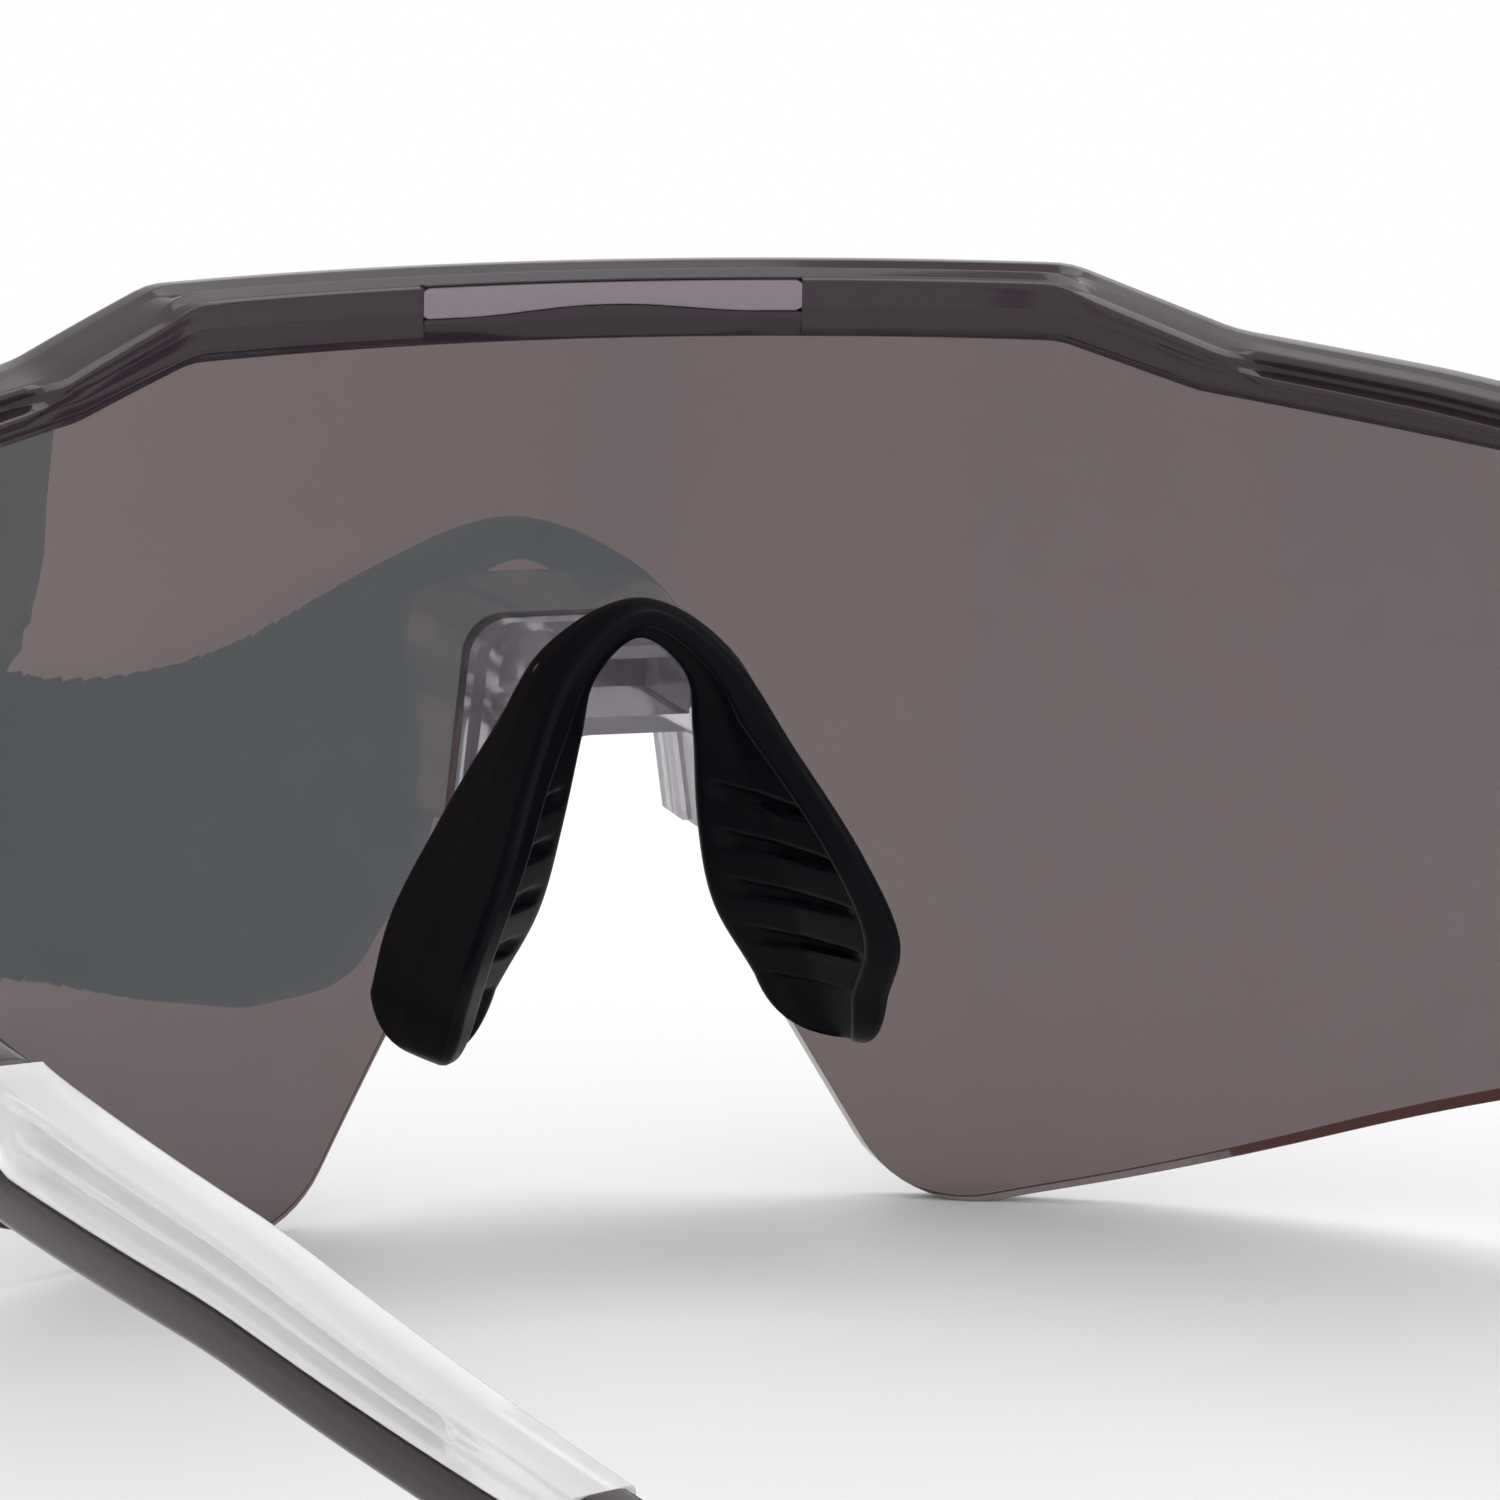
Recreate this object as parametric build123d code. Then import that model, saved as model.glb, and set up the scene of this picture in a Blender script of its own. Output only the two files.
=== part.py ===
"""Half-rim wraparound sport sunglasses: one shield lens hung from a brow bar, with two folding temples.

Frame of the model: +X is the wearer's right, +Y is forward, +Z is up, in millimetres.
The glasses stand on the two lower corners of the lens and on the two temple ends, at Z = 0.
The origin is the centre of the footprint box. The left half mirrors the right half.
Distances named "back" are measured backward from the front of the lens.
"""
from build123d import *
import math
import os

# ---------------------------------------------------------------- overall sizes
overall_height = 57.0        # lowest lens corner to the top of the brow bar
overall_depth = 178.0        # front of the lens to the back of the temple ends

# ---------------------------------------------------------------- lens
lens_radius = 72.0           # horizontal radius of the outer surface, at its widest height
lens_crown_radius = 240.0    # vertical radius of the outer surface
lens_mid_z = 28.0            # height where the outer surface stands furthest out
lens_thickness = 1.8
lens_half_width = 61.5
lens_corner_x = 19.6         # where the notch side and the lower edge would meet
lens_corner_radius = 7.2
lens_lower_slope = 13.0      # degrees, lower edge next to the corner
notch_side_slope = 60.0      # degrees, sides of the nose notch
notch_top_z = 31.0
notch_top_x = 6.6            # half width of the notch where its top rounds over
notch_top_radius = 2.5
notch_knee_drop = 12.5       # knee of the notch side, below the notch's top
notch_knee_radius = 12.0
groove_depth = 1.5           # how far the lens sits up inside the brow bar
lens_clearance = 0.05        # all round the lens in its grooves

# ---------------------------------------------------------------- brow bar
brow_outer = 1.5             # in front of the lens's outer surface
brow_inner = 3.5             # behind the lens's outer surface
brow_height = 4.2            # at the centre
wrap_angle = 64.0            # degrees from the centre to where the bar turns straight back
lug_turn_radius = 14.0
lug_bottom_z = 37.4
lug_top_z = 48.4
inlay_width = 24.2
inlay_height = 2.1
inlay_depth = 1.0
inlay_rise = 1.35            # above the bar's lower edge
inlay_corner_radius = 0.5
inlay_clearance = 0.04

# ---------------------------------------------------------------- hinge
hinge_back = 49.5            # hinge axis behind the front of the lens
hinge_inset = 0.25           # hinge axis inside the bar's inner face
knuckle_radius = 2.4
knuckle_gap = 0.15           # above and below the temple's knuckle
turning_gap = 0.3            # around a knuckle, where the other half clears it
stop_gap = 0.1               # each half's share of the gap between the stop faces
temple_knuckle_height = 3.6
web_depth = 3.84             # block that joins a knuckle to the arm, from the hinge axis
screw_radius = 0.7
screw_fit = 0.05             # radial, where the temple turns on the screw
screw_head_radius = 1.3
screw_head_height = 0.9
screw_slot_width = 0.4
nut_across_flats = 2.4
nut_height = 1.1
seat_fit = 0.03              # radial, around the seated head and nut
recess_depth = 0.3           # the head and the nut lie this far inside the lug

# ---------------------------------------------------------------- temples
temple_thickness = 3.4
temple_curve_radius = 260.0  # the arm's inward curve, seen from above
temple_curve_start = 4.5     # straight length behind the hinge
waist_share = 0.465          # place of the arm's waist, from the hinge (0) to the ear bend (1)
waist_z = 34.9
waist_radius = 3.45          # half the arm's height there
slim_share = 0.742           # place where the arm starts to lean down to the ear
slim_z = 32.2
slim_radius = 2.7
ear_reach = 20.0             # from the ear bend to the back of the temple end
bend_z = 27.05               # centre line height at the ear bend
bend_radius = 1.95
end_radius = 2.6
strip_length = 45.0          # clear strip
strip_to_bend = 4.0
collar_length = 3.0          # full-height end of the arm, between the strip and the rubber tip
rail_height = 2.2            # dark rail under the clear strip
rib_height = 0.8             # rib on the rail, inside the strip
rib_thickness = 1.2
strip_corner_radius = 3.0
temple_fit = 0.05            # between the arm, the strip and the rubber tip
tang_cover = 0.9             # rubber over the tang
tang_length = 8.0

# ---------------------------------------------------------------- nose piece
carrier_lip = 0.9            # lip in front of the lens
carrier_plate = 1.4          # plate behind the lens
carrier_side = 0.6           # how far the plate reaches past the notch's sides
carrier_top = 4.9            # how far the plate reaches above the notch
carrier_inner = 2.0          # how far the carrier's legs stand inside the notch
carrier_inner_top = 0.3      # the same at the top of the notch
wall_inset = 0.2             # outer face of its back wall, inside the notch's sides
carrier_wall = 1.5           # wall that runs back into the rubber pad
carrier_reach = 12.0         # back end of that wall, behind the front of the lens
carrier_bottom_z = 23.5      # lower ends of its two legs, behind the pad
carrier_pocket = (6.4, 3.4)  # width and height of the pocket in the thick top, open to the back
pad_slot_fit = 0.05
pad_edge_radius = 0.6

# ---------------------------------------------------------------- derived places
front_y = (overall_depth - carrier_lip) / 2
back_y = front_y - overall_depth
bend_back = overall_depth - ear_reach
waist_back = hinge_back + waist_share * (bend_back - hinge_back)
slim_back = hinge_back + slim_share * (bend_back - hinge_back)
strip_back = bend_back - strip_to_bend
strip_front = strip_back - strip_length
tip_front = strip_back + collar_length
wrap_centre_y = front_y - lens_radius
hinge_y = front_y - hinge_back
brow_bottom_z = overall_height - brow_height
lens_top_z = brow_bottom_z + groove_depth
inlay_bottom_z = brow_bottom_z + inlay_rise
margin = 10.0                # spare length of cutting and trimming bodies


def lens_radius_at(z, offset=0.0):
    """Horizontal radius, at height z, of the lens's outer surface moved outward by offset."""
    crown = lens_crown_radius + offset
    return lens_radius - lens_crown_radius + math.sqrt(crown ** 2 - (z - lens_mid_z) ** 2)


brow_radius = lens_radius_at(overall_height - brow_height / 2)
lug_centre_x = (brow_radius - lug_turn_radius) * math.sin(math.radians(wrap_angle))
lug_line_x = lug_centre_x + lug_turn_radius
lug_inner_x = lug_line_x - brow_inner
lug_outer_x = lug_line_x + brow_outer
hinge_x = lug_inner_x - hinge_inset


# ---------------------------------------------------------------- helpers
def mirrored(points):
    """Outline points and corner radii of the right half, with those of the left half added."""
    return points + [(-x, z, radius) for x, z, radius in reversed(points)]


def rounded_face(points):
    """Closed face through points (x, z, corner radius)."""
    corners = [(x, z) for x, z, _ in points]
    radii = [radius for _, _, radius in points]
    return make_face(FilletPolyline(*corners, radius=radii, close=True))


def front_prism(face, end_y=wrap_centre_y):
    """Prism of a front-view face, from ahead of the lens back to end_y."""
    start = front_y + margin
    return extrude(Plane.XZ.offset(-start) * face, amount=start - end_y)


def side_prism(face):
    """Prism of a side-view face (y, z) across the right half."""
    return extrude(Plane.YZ * face, amount=lug_outer_x + margin)


def wrapped_shell(outer, inner):
    """Shell that follows the lens's double curve, between two offsets from its outer surface."""
    heights = (-margin, lens_mid_z, overall_height + margin)
    outer_line = ThreePointArc(*[(lens_radius_at(z, outer), z) for z in heights])
    inner_line = ThreePointArc(*[(lens_radius_at(z, inner), z) for z in heights])
    ends = [Line(outer_line @ 0, inner_line @ 0), Line(outer_line @ 1, inner_line @ 1)]
    section = Plane.XZ * make_face([outer_line, inner_line] + ends)
    return Pos(0, wrap_centre_y, 0) * revolve(section, Axis.Z)


def upright_band(path, width):
    """Vertical wall of the given width along a plan path, taller than the glasses."""
    return extrude(Pos(0, 0, -margin) * trace(path, width), amount=overall_height + 2 * margin)


def upright_cylinder(radius, low, high):
    """Cylinder on the right hinge's axis."""
    return Pos(hinge_x, hinge_y, low) * extrude(Circle(radius), amount=high - low)


# ---------------------------------------------------------------- lens
def notch_side(side_grow=0.0, top_grow=0.0):
    """Lower end, knee and top corner of the nose notch's right side, grown outward."""
    slope = math.radians(notch_side_slope)
    turn = math.radians(notch_side_slope + lens_lower_slope)
    middle = math.radians((180 - notch_side_slope + lens_lower_slope) / 2)
    corner_z = -lens_corner_radius * (math.sin(middle) / math.cos(turn / 2) - 1)
    knee_z = notch_top_z - notch_knee_drop
    knee_x = lens_corner_x - (knee_z - corner_z) / math.tan(slope)
    return [
        (lens_corner_x + side_grow, corner_z, lens_corner_radius),
        (knee_x + side_grow, knee_z, notch_knee_radius),
        (notch_top_x + side_grow, notch_top_z + top_grow, notch_top_radius),
    ]


def lens_outline(grow=0.0):
    """Front-view outline of the lens, grown outward by a clearance."""
    notch = notch_side(-grow, -grow)
    corner_x, corner_z, _ = notch[0]
    turn_x = 36.0
    turn_z = corner_z + (turn_x - corner_x) * math.tan(math.radians(lens_lower_slope))
    half = [
        (27.0, lens_top_z + grow, 6.0),
        (35.6, lens_top_z - 2.4 + grow, 8.0),
        (lens_half_width + grow, lug_top_z - 0.5 + grow, 2.0),
        (lens_half_width + grow, 13.6, 7.0),
        (turn_x, turn_z, 100.0),
    ]
    return rounded_face(mirrored(half + notch))


def make_lens(grow=0.0):
    shell = wrapped_shell(grow, -lens_thickness - grow)
    return shell & front_prism(lens_outline(grow))


# ---------------------------------------------------------------- brow bar
def bar_path():
    """Plan path of the bar's middle line, from the left hinge round to the right hinge."""
    inset = (brow_inner - brow_outer) / 2
    wrap = math.radians(wrap_angle)
    half_turn = math.radians((90 - wrap_angle) / 2)
    front = brow_radius - inset
    corner = lug_turn_radius - inset
    lug_centre_y = wrap_centre_y + (brow_radius - lug_turn_radius) * math.cos(wrap)
    joint = (front * math.sin(wrap), wrap_centre_y + front * math.cos(wrap))
    middle = (lug_centre_x + corner * math.cos(half_turn), lug_centre_y + corner * math.sin(half_turn))
    back = (lug_centre_x + corner, lug_centre_y)
    end = (lug_centre_x + corner, hinge_y + stop_gap)

    def left(point):
        return (-point[0], point[1])

    return [
        Line(left(end), left(back)),
        ThreePointArc(left(back), left(middle), left(joint)),
        ThreePointArc(left(joint), (0, wrap_centre_y + front), joint),
        ThreePointArc(joint, middle, back),
        Line(back, end),
    ]


def bar_outline():
    """Front-view outline of the brow bar: flat centre, two steps down, then the hinge lugs."""
    outer_x = lug_outer_x + margin
    return rounded_face(mirrored([
        (27.8, overall_height, 5.0),
        (36.6, overall_height - 3.5, 7.0),
        (47.0, overall_height - 5.0, 40.0),
        (outer_x, lug_top_z - 2.0, 1.0),
        (outer_x, lug_bottom_z, 1.0),
        (60.6, lug_bottom_z, 2.0),
        (57.0, lug_top_z - 1.3, 6.0),
        (35.2, brow_bottom_z - 2.6, 5.0),
        (27.4, brow_bottom_z, 4.0),
    ]))


def inlay_body(grow=0.0):
    """Flat strip set into the back of the bar, with rounded corners and the bar's curve."""
    width = inlay_width + 2 * grow
    height = inlay_height + 2 * grow
    outline = Pos(0, inlay_bottom_z + inlay_height / 2) * RectangleRounded(width, height, inlay_corner_radius)
    inner = brow_radius - brow_inner
    ring = Circle(inner + inlay_depth + grow) - Circle(inner - grow)
    band = Pos(0, wrap_centre_y, -margin) * extrude(ring, amount=overall_height + 2 * margin)
    return band & front_prism(outline)


def knuckle_heights():
    """Bottom and top of the temple's knuckle, at the middle of the lug."""
    middle = (lug_bottom_z + lug_top_z) / 2
    return middle - temple_knuckle_height / 2, middle + temple_knuckle_height / 2


def fork_knuckles(grow=0.0):
    """The lug's two knuckles, below and above the temple's, or the room they need when grown."""
    low, high = knuckle_heights()
    gap = knuckle_gap - min(grow, knuckle_gap)
    lower = upright_cylinder(knuckle_radius + grow, lug_bottom_z - grow, low - gap)
    upper = upright_cylinder(knuckle_radius + grow, high + gap, lug_top_z + grow)
    return lower, upper


def knuckle_web(low, high, direction):
    """Block that joins a knuckle to the arm beside it: direction is +1 forward, -1 backward."""
    inner_x = hinge_x - knuckle_radius
    width = lug_outer_x - temple_thickness / 2 - inner_x
    centre = (inner_x + width / 2, hinge_y + direction * web_depth / 2, (low + high) / 2)
    return Pos(*centre) * Box(width, web_depth, high - low)


def screw_axis_cut():
    """Hole for the screw's shank, with seats for its head at the top and the nut below."""
    hole = upright_cylinder(screw_radius + screw_fit, 0, overall_height)
    head_seat = upright_cylinder(screw_head_radius + seat_fit, screw_seat_z(), overall_height)
    nut_seat = nut_blank(seat_fit, lug_bottom_z - margin, nut_top_z())
    return hole + head_seat + nut_seat


def screw_seat_z():
    return lug_top_z - recess_depth - screw_head_height


def nut_top_z():
    return lug_bottom_z + recess_depth + nut_height


def nut_blank(grow, low, high):
    """Hexagonal prism on the hinge axis."""
    hexagon = RegularPolygon(nut_across_flats / 2 + grow, 6, major_radius=False)
    return Pos(hinge_x, hinge_y, low) * extrude(hexagon, amount=high - low)


def make_front_frame():
    bar = upright_band(bar_path(), brow_outer + brow_inner) & front_prism(bar_outline(), hinge_y - margin)
    bar -= make_lens(lens_clearance)
    bar -= inlay_body(inlay_clearance)
    low, high = knuckle_heights()
    lower, upper = fork_knuckles()
    right = lower + upper
    right += knuckle_web(lug_bottom_z, low - knuckle_gap, 1)
    right += knuckle_web(high + knuckle_gap, lug_top_z, 1)
    turning_room = upright_cylinder(knuckle_radius + turning_gap, low - knuckle_gap, high + knuckle_gap)
    for half in (right, mirror(right, about=Plane.YZ)):
        bar += half
    for cut in (turning_room + screw_axis_cut(), mirror(turning_room + screw_axis_cut(), about=Plane.YZ)):
        bar -= cut
    return bar


# ---------------------------------------------------------------- hinge hardware, right side
def make_hinge_screw():
    """Flat-headed screw from above, with a cross slot in its head."""
    seat = screw_seat_z()
    shank = upright_cylinder(screw_radius, lug_bottom_z + recess_depth, seat)
    head = upright_cylinder(screw_head_radius, seat, seat + screw_head_height)
    slot_depth = screw_head_height / 2
    slot = Box(1.5 * screw_head_radius, screw_slot_width, slot_depth)
    cross = Pos(hinge_x, hinge_y, seat + screw_head_height - slot_depth / 2) * (slot + Rot(0, 0, 90) * slot)
    return shank + head - cross


def make_hinge_nut():
    blank = nut_blank(0, lug_bottom_z + recess_depth, nut_top_z())
    return blank - upright_cylinder(screw_radius + seat_fit, 0, overall_height)


# ---------------------------------------------------------------- temples, right side
def temple_path():
    """Plan path of the arm's middle: straight back, curved inward, then straight to the end."""
    x = lug_outer_x - temple_thickness / 2
    start = hinge_y - stop_gap
    curve_y = hinge_y - temple_curve_start
    travel = curve_y - (front_y - tip_front)
    angle = math.asin(travel / temple_curve_radius)

    def on_curve(turn):
        across = temple_curve_radius * (1 - math.cos(turn))
        return (x - across, curve_y - temple_curve_radius * math.sin(turn))

    end = on_curve(angle)
    reach = overall_depth - tip_front + margin
    tip = (end[0] - reach * math.sin(angle), end[1] - reach * math.cos(angle))
    return [
        Line((x, start), (x, curve_y)),
        ThreePointArc((x, curve_y), on_curve(angle / 2), end),
        Line(end, tip),
    ]


def temple_outline(inset=0.0):
    """Side-view outline (y, z) of the whole arm: tapering, bent down at the ear, round-ended."""
    start = hinge_y - stop_gap
    bend = (front_y - bend_back, bend_z)
    end = (back_y + end_radius, end_radius)
    front = Line((start, lug_bottom_z + inset), (start, lug_top_z - inset))
    waist_circle = Pos(front_y - waist_back, waist_z) * Circle(waist_radius - inset)
    slim_circle = Pos(front_y - slim_back, slim_z) * Circle(slim_radius - inset)
    bend_circle = Pos(*bend) * Circle(bend_radius - inset)
    end_circle = Pos(*end) * Circle(end_radius - inset)
    root = make_hull([front] + waist_circle.edges())
    arm = make_hull(waist_circle.edges() + slim_circle.edges())
    arm += make_hull(slim_circle.edges() + bend_circle.edges())
    hook = make_hull(bend_circle.edges() + end_circle.edges())
    outline = root + arm + hook
    crook = outline.vertices().sort_by_distance((bend[0] + bend_radius, bend[1] - bend_radius))[0]
    return fillet(crook, 3 * bend_radius)


def rail_line(lift):
    """Line above the arm's lower edge, along the clear strip, from its front to its back."""
    waist = (waist_back, waist_z - waist_radius)
    slim = (slim_back, slim_z - slim_radius)
    bend = (bend_back, bend_z - bend_radius)

    def at(back, first, second):
        slope = (second[1] - first[1]) / (second[0] - first[0])
        return (front_y - back, first[1] + slope * (back - first[0]) + lift)

    return [at(strip_front, waist, slim), at(slim_back, waist, slim), at(strip_back, slim, bend)]


def strip_zone(grow=0.0):
    """Room of the clear strip in side view: above the rail, with a round lower front corner."""
    front, middle, back = rail_line(rail_height - grow)
    corners = [
        (front[0] + grow, front[1]),
        middle,
        (back[0] - grow, back[1]),
        (back[0] - grow, overall_height + margin),
        (front[0] + grow, overall_height + margin),
    ]
    zone = make_face(Polyline(*corners, close=True))
    corner = zone.vertices().sort_by_distance(corners[0])[0]
    return side_prism(fillet(corner, strip_corner_radius))


def rail_rib(grow=0.0):
    """Rib along the top of the rail, which the clear strip is pushed over."""
    foot = rail_line(rail_height - rib_height)
    top = rail_line(rail_height + rib_height + grow)
    rib = side_prism(make_face(Polyline(*foot, *reversed(top), close=True)))
    return rib & upright_band(temple_path(), rib_thickness + 2 * grow)


def slab(low_back, high_back):
    """Block of the right half between two distances behind the front of the lens."""
    depth = high_back - low_back
    centre_y = front_y - (low_back + high_back) / 2
    return Pos(0, centre_y, overall_height / 2) * Box(3 * overall_depth, depth, 2 * overall_height)


def make_tang(grow=0.0):
    """Thin end of the arm that the rubber tip is pushed over."""
    inset = tang_cover - grow
    body = upright_band(temple_path(), temple_thickness - 2 * inset) & side_prism(temple_outline(inset))
    return body & slab(tip_front - 1.0, tip_front + tang_length + grow)


def temple_blank():
    return upright_band(temple_path(), temple_thickness) & side_prism(temple_outline())


def make_temple_arm():
    low, high = knuckle_heights()
    arm = temple_blank() & slab(0, tip_front)
    arm -= strip_zone(temple_fit)
    arm += rail_rib()
    arm += make_tang()
    knuckle = upright_cylinder(knuckle_radius, low, high) + knuckle_web(low, high, -1)
    lower, upper = fork_knuckles(turning_gap)
    arm -= lower + upper
    arm += knuckle
    return arm - upright_cylinder(screw_radius + screw_fit, 0, overall_height)


def make_temple_strip():
    return (temple_blank() & strip_zone()) - rail_rib(temple_fit)


def make_temple_tip():
    tip = temple_blank() & slab(tip_front + temple_fit, overall_depth + margin)
    return tip - make_tang(temple_fit)


# ---------------------------------------------------------------- nose piece
def notch_face(side_grow, top_grow):
    """Face of the nose notch, grown sideways and upward, open below the lens."""
    foot, knee, top = notch_side(side_grow, top_grow)
    slope = math.tan(math.radians(notch_side_slope))
    floor = (foot[0] + (margin + foot[1]) / slope, -margin, 1.0)
    return rounded_face(mirrored([top, knee, floor]))


def wrapped_prism(face, outer, inner):
    """Front-view face cut out of a shell along the lens."""
    return wrapped_shell(outer, inner) & front_prism(face)


def carrier_back(grow=0.0):
    """Wall round the notch that runs back into the rubber pad, with a thick top."""
    outer = notch_face(grow - wall_inset, carrier_top + grow)
    inner = notch_face(-wall_inset - carrier_wall - grow, -carrier_inner_top - grow)
    start = front_y - lens_thickness
    end = front_y - carrier_reach - grow
    return extrude(Plane.XZ.offset(-start) * (outer - inner), amount=start - end)


def carrier_room(grow=0.0):
    """Space above the lower ends of the carrier's legs."""
    middle_z = carrier_bottom_z - grow + overall_height / 2
    return Pos(0, front_y, middle_z) * Box(overall_depth, overall_depth, overall_height)


def make_nose_carrier():
    band = notch_face(carrier_side, carrier_top) - notch_face(-carrier_inner, -carrier_inner_top)
    clip = wrapped_prism(band, carrier_lip, -lens_thickness - carrier_plate)
    carrier = clip + carrier_back()
    width, height = carrier_pocket
    pocket_z = notch_top_z + carrier_top / 2
    pocket_front = lens_thickness + carrier_plate
    pocket_y = front_y - (pocket_front + carrier_reach + margin) / 2
    carrier -= Pos(0, pocket_y, pocket_z) * Box(width, carrier_reach + margin - pocket_front, height)
    carrier -= make_lens(lens_clearance)
    return carrier & carrier_room()


def pad_section(inner, outer, rear):
    """Rounded triangle through three points, each (x, distance behind the lens front, z)."""
    corners = [Vector(x, front_y - back, z) for x, back, z in (inner, outer, rear)]
    triangle = Face(Wire.make_polygon(corners, close=True))
    return triangle.fillet_2d(pad_edge_radius, triangle.vertices())


def make_nose_pad():
    """One-piece rubber saddle: two wedge-shaped legs that meet in an arch over the nose."""
    right = loft([
        pad_section((9.6, 11.0, 11.4), (13.6, 9.6, 11.4), (12.0, 15.5, 11.8)),
        pad_section((6.5, 10.5, 15.0), (15.0, 8.5, 15.0), (12.4, 20.5, 15.5)),
        pad_section((4.8, 10.2, 20.0), (13.6, 8.3, 20.0), (12.4, 23.0, 20.0)),
        pad_section((3.6, 10.7, 25.0), (11.5, 8.5, 25.0), (10.3, 22.0, 25.0)),
        pad_section((2.9, 12.0, 30.5), (8.6, 9.0, 30.5), (7.5, 18.0, 30.5)),
        pad_section((2.3, 12.6, 34.2), (5.4, 10.0, 36.0), (4.6, 15.4, 35.2)),
        pad_section((0.0, 12.3, 36.1), (0.0, 10.8, 38.6), (0.0, 14.2, 38.2)),
    ])
    pad = right + mirror(right, about=Plane.YZ)
    return pad - (carrier_back(pad_slot_fit) & carrier_room(pad_slot_fit))


# ---------------------------------------------------------------- write the parts
def write(name, shape):
    export_step(shape, os.path.join("parts", name + ".step"))


def main():
    os.makedirs("parts", exist_ok=True)
    write("front_frame", make_front_frame())
    write("shield_lens", make_lens())
    write("brow_inlay", inlay_body())
    write("nose_carrier", make_nose_carrier())
    write("nose_pad", make_nose_pad())
    sided = {
        "hinge_screw": make_hinge_screw(),
        "hinge_nut": make_hinge_nut(),
        "temple_arm": make_temple_arm(),
        "temple_strip": make_temple_strip(),
        "temple_tip": make_temple_tip(),
    }
    for name, shape in sided.items():
        write("right_" + name, shape)
        write("left_" + name, mirror(shape, about=Plane.YZ))


main()
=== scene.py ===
"""Looks of the wraparound sport sunglasses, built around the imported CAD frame.

Every shape is worked out in millimetres, in the frame of the CAD parts: +X is the wearer's right,
+Y is forward and +Z is up. The right half is drawn and the left half mirrors it.
"""
import math

import bmesh
import bpy
import numpy as np
from mathutils import Matrix, Vector


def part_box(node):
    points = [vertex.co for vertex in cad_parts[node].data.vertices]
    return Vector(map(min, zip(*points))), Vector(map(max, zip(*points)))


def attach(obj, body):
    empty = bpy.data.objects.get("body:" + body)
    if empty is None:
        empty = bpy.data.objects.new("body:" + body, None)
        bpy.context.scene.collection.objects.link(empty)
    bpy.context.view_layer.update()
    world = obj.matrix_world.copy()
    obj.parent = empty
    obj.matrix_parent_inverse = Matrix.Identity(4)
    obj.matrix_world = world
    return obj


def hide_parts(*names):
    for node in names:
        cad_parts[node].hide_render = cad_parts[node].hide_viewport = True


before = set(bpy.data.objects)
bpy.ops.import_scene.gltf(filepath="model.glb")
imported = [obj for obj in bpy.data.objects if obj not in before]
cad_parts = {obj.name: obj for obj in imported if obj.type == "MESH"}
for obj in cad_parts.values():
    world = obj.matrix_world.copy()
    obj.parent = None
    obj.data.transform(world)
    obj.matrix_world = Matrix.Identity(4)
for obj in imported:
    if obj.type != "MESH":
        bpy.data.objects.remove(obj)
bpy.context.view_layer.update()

MM = 0.001

# ---------------------------------------------------------------- sizes read from the frame
lens_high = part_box("shield_lens")[1] / MM
bar_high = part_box("front_frame")[1] / MM
inlay_low, inlay_high = [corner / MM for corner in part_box("brow_inlay")]
screw_low, screw_high = [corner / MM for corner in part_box("right_hinge_screw")]
strip_low, strip_high = [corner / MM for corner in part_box("right_temple_strip")]
tip_low, tip_high = [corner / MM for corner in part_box("right_temple_tip")]

front_y = lens_high.y                # front of the lens
back_y = tip_low.y                   # back of the temple ends
overall_height = bar_high.z
lens_half_width = lens_high.x
lens_top_z = lens_high.z
lug_outer_x = bar_high.x
hinge_x = (screw_low.x + screw_high.x) / 2
hinge_y = (screw_low.y + screw_high.y) / 2

# ---------------------------------------------------------------- sizes shared with the CAD source
lens_radius = 72.0
lens_crown_radius = 240.0
lens_mid_z = 28.0
lens_thickness = 1.8
brow_outer = 1.5
brow_inner = 3.5
brow_height = 4.2
wrap_angle = math.radians(64.0)
lug_turn_radius = 14.0
lug_bottom_z = 37.4
lug_top_z = 48.4
inlay_depth = 1.0
knuckle_radius = 2.4
knuckle_gap = 0.15
temple_knuckle_height = 3.6
turning_gap = 0.3
stop_gap = 0.1
screw_head_height = 0.9
nut_height = 1.1
head_seat_radius = 1.34
nut_seat_radius = 1.42               # round seat outside the nut's corners
lug_hole_radius = 0.76
temple_hole_radius = 0.75
temple_thickness = 3.4
temple_curve_radius = 260.0
temple_curve_start = 4.5
hinge_back = front_y - hinge_y
ear_reach = 20.0
bend_back = front_y - back_y - ear_reach
bend_z = 27.05
bend_radius = 1.95
end_radius = 2.6
waist_back = hinge_back + 0.465 * (bend_back - hinge_back)
waist_z = 34.9
waist_radius = 3.45
slim_back = hinge_back + 0.742 * (bend_back - hinge_back)
slim_z = 32.2
slim_radius = 2.7
strip_back = front_y - strip_low.y
strip_front = front_y - strip_high.y
strip_corner_radius = 3.0
rail_height = 2.2
fit = 0.05
tip_front = front_y - tip_high.y - fit

brow_bottom_z = overall_height - brow_height
wrap_centre_y = front_y - lens_radius


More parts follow.
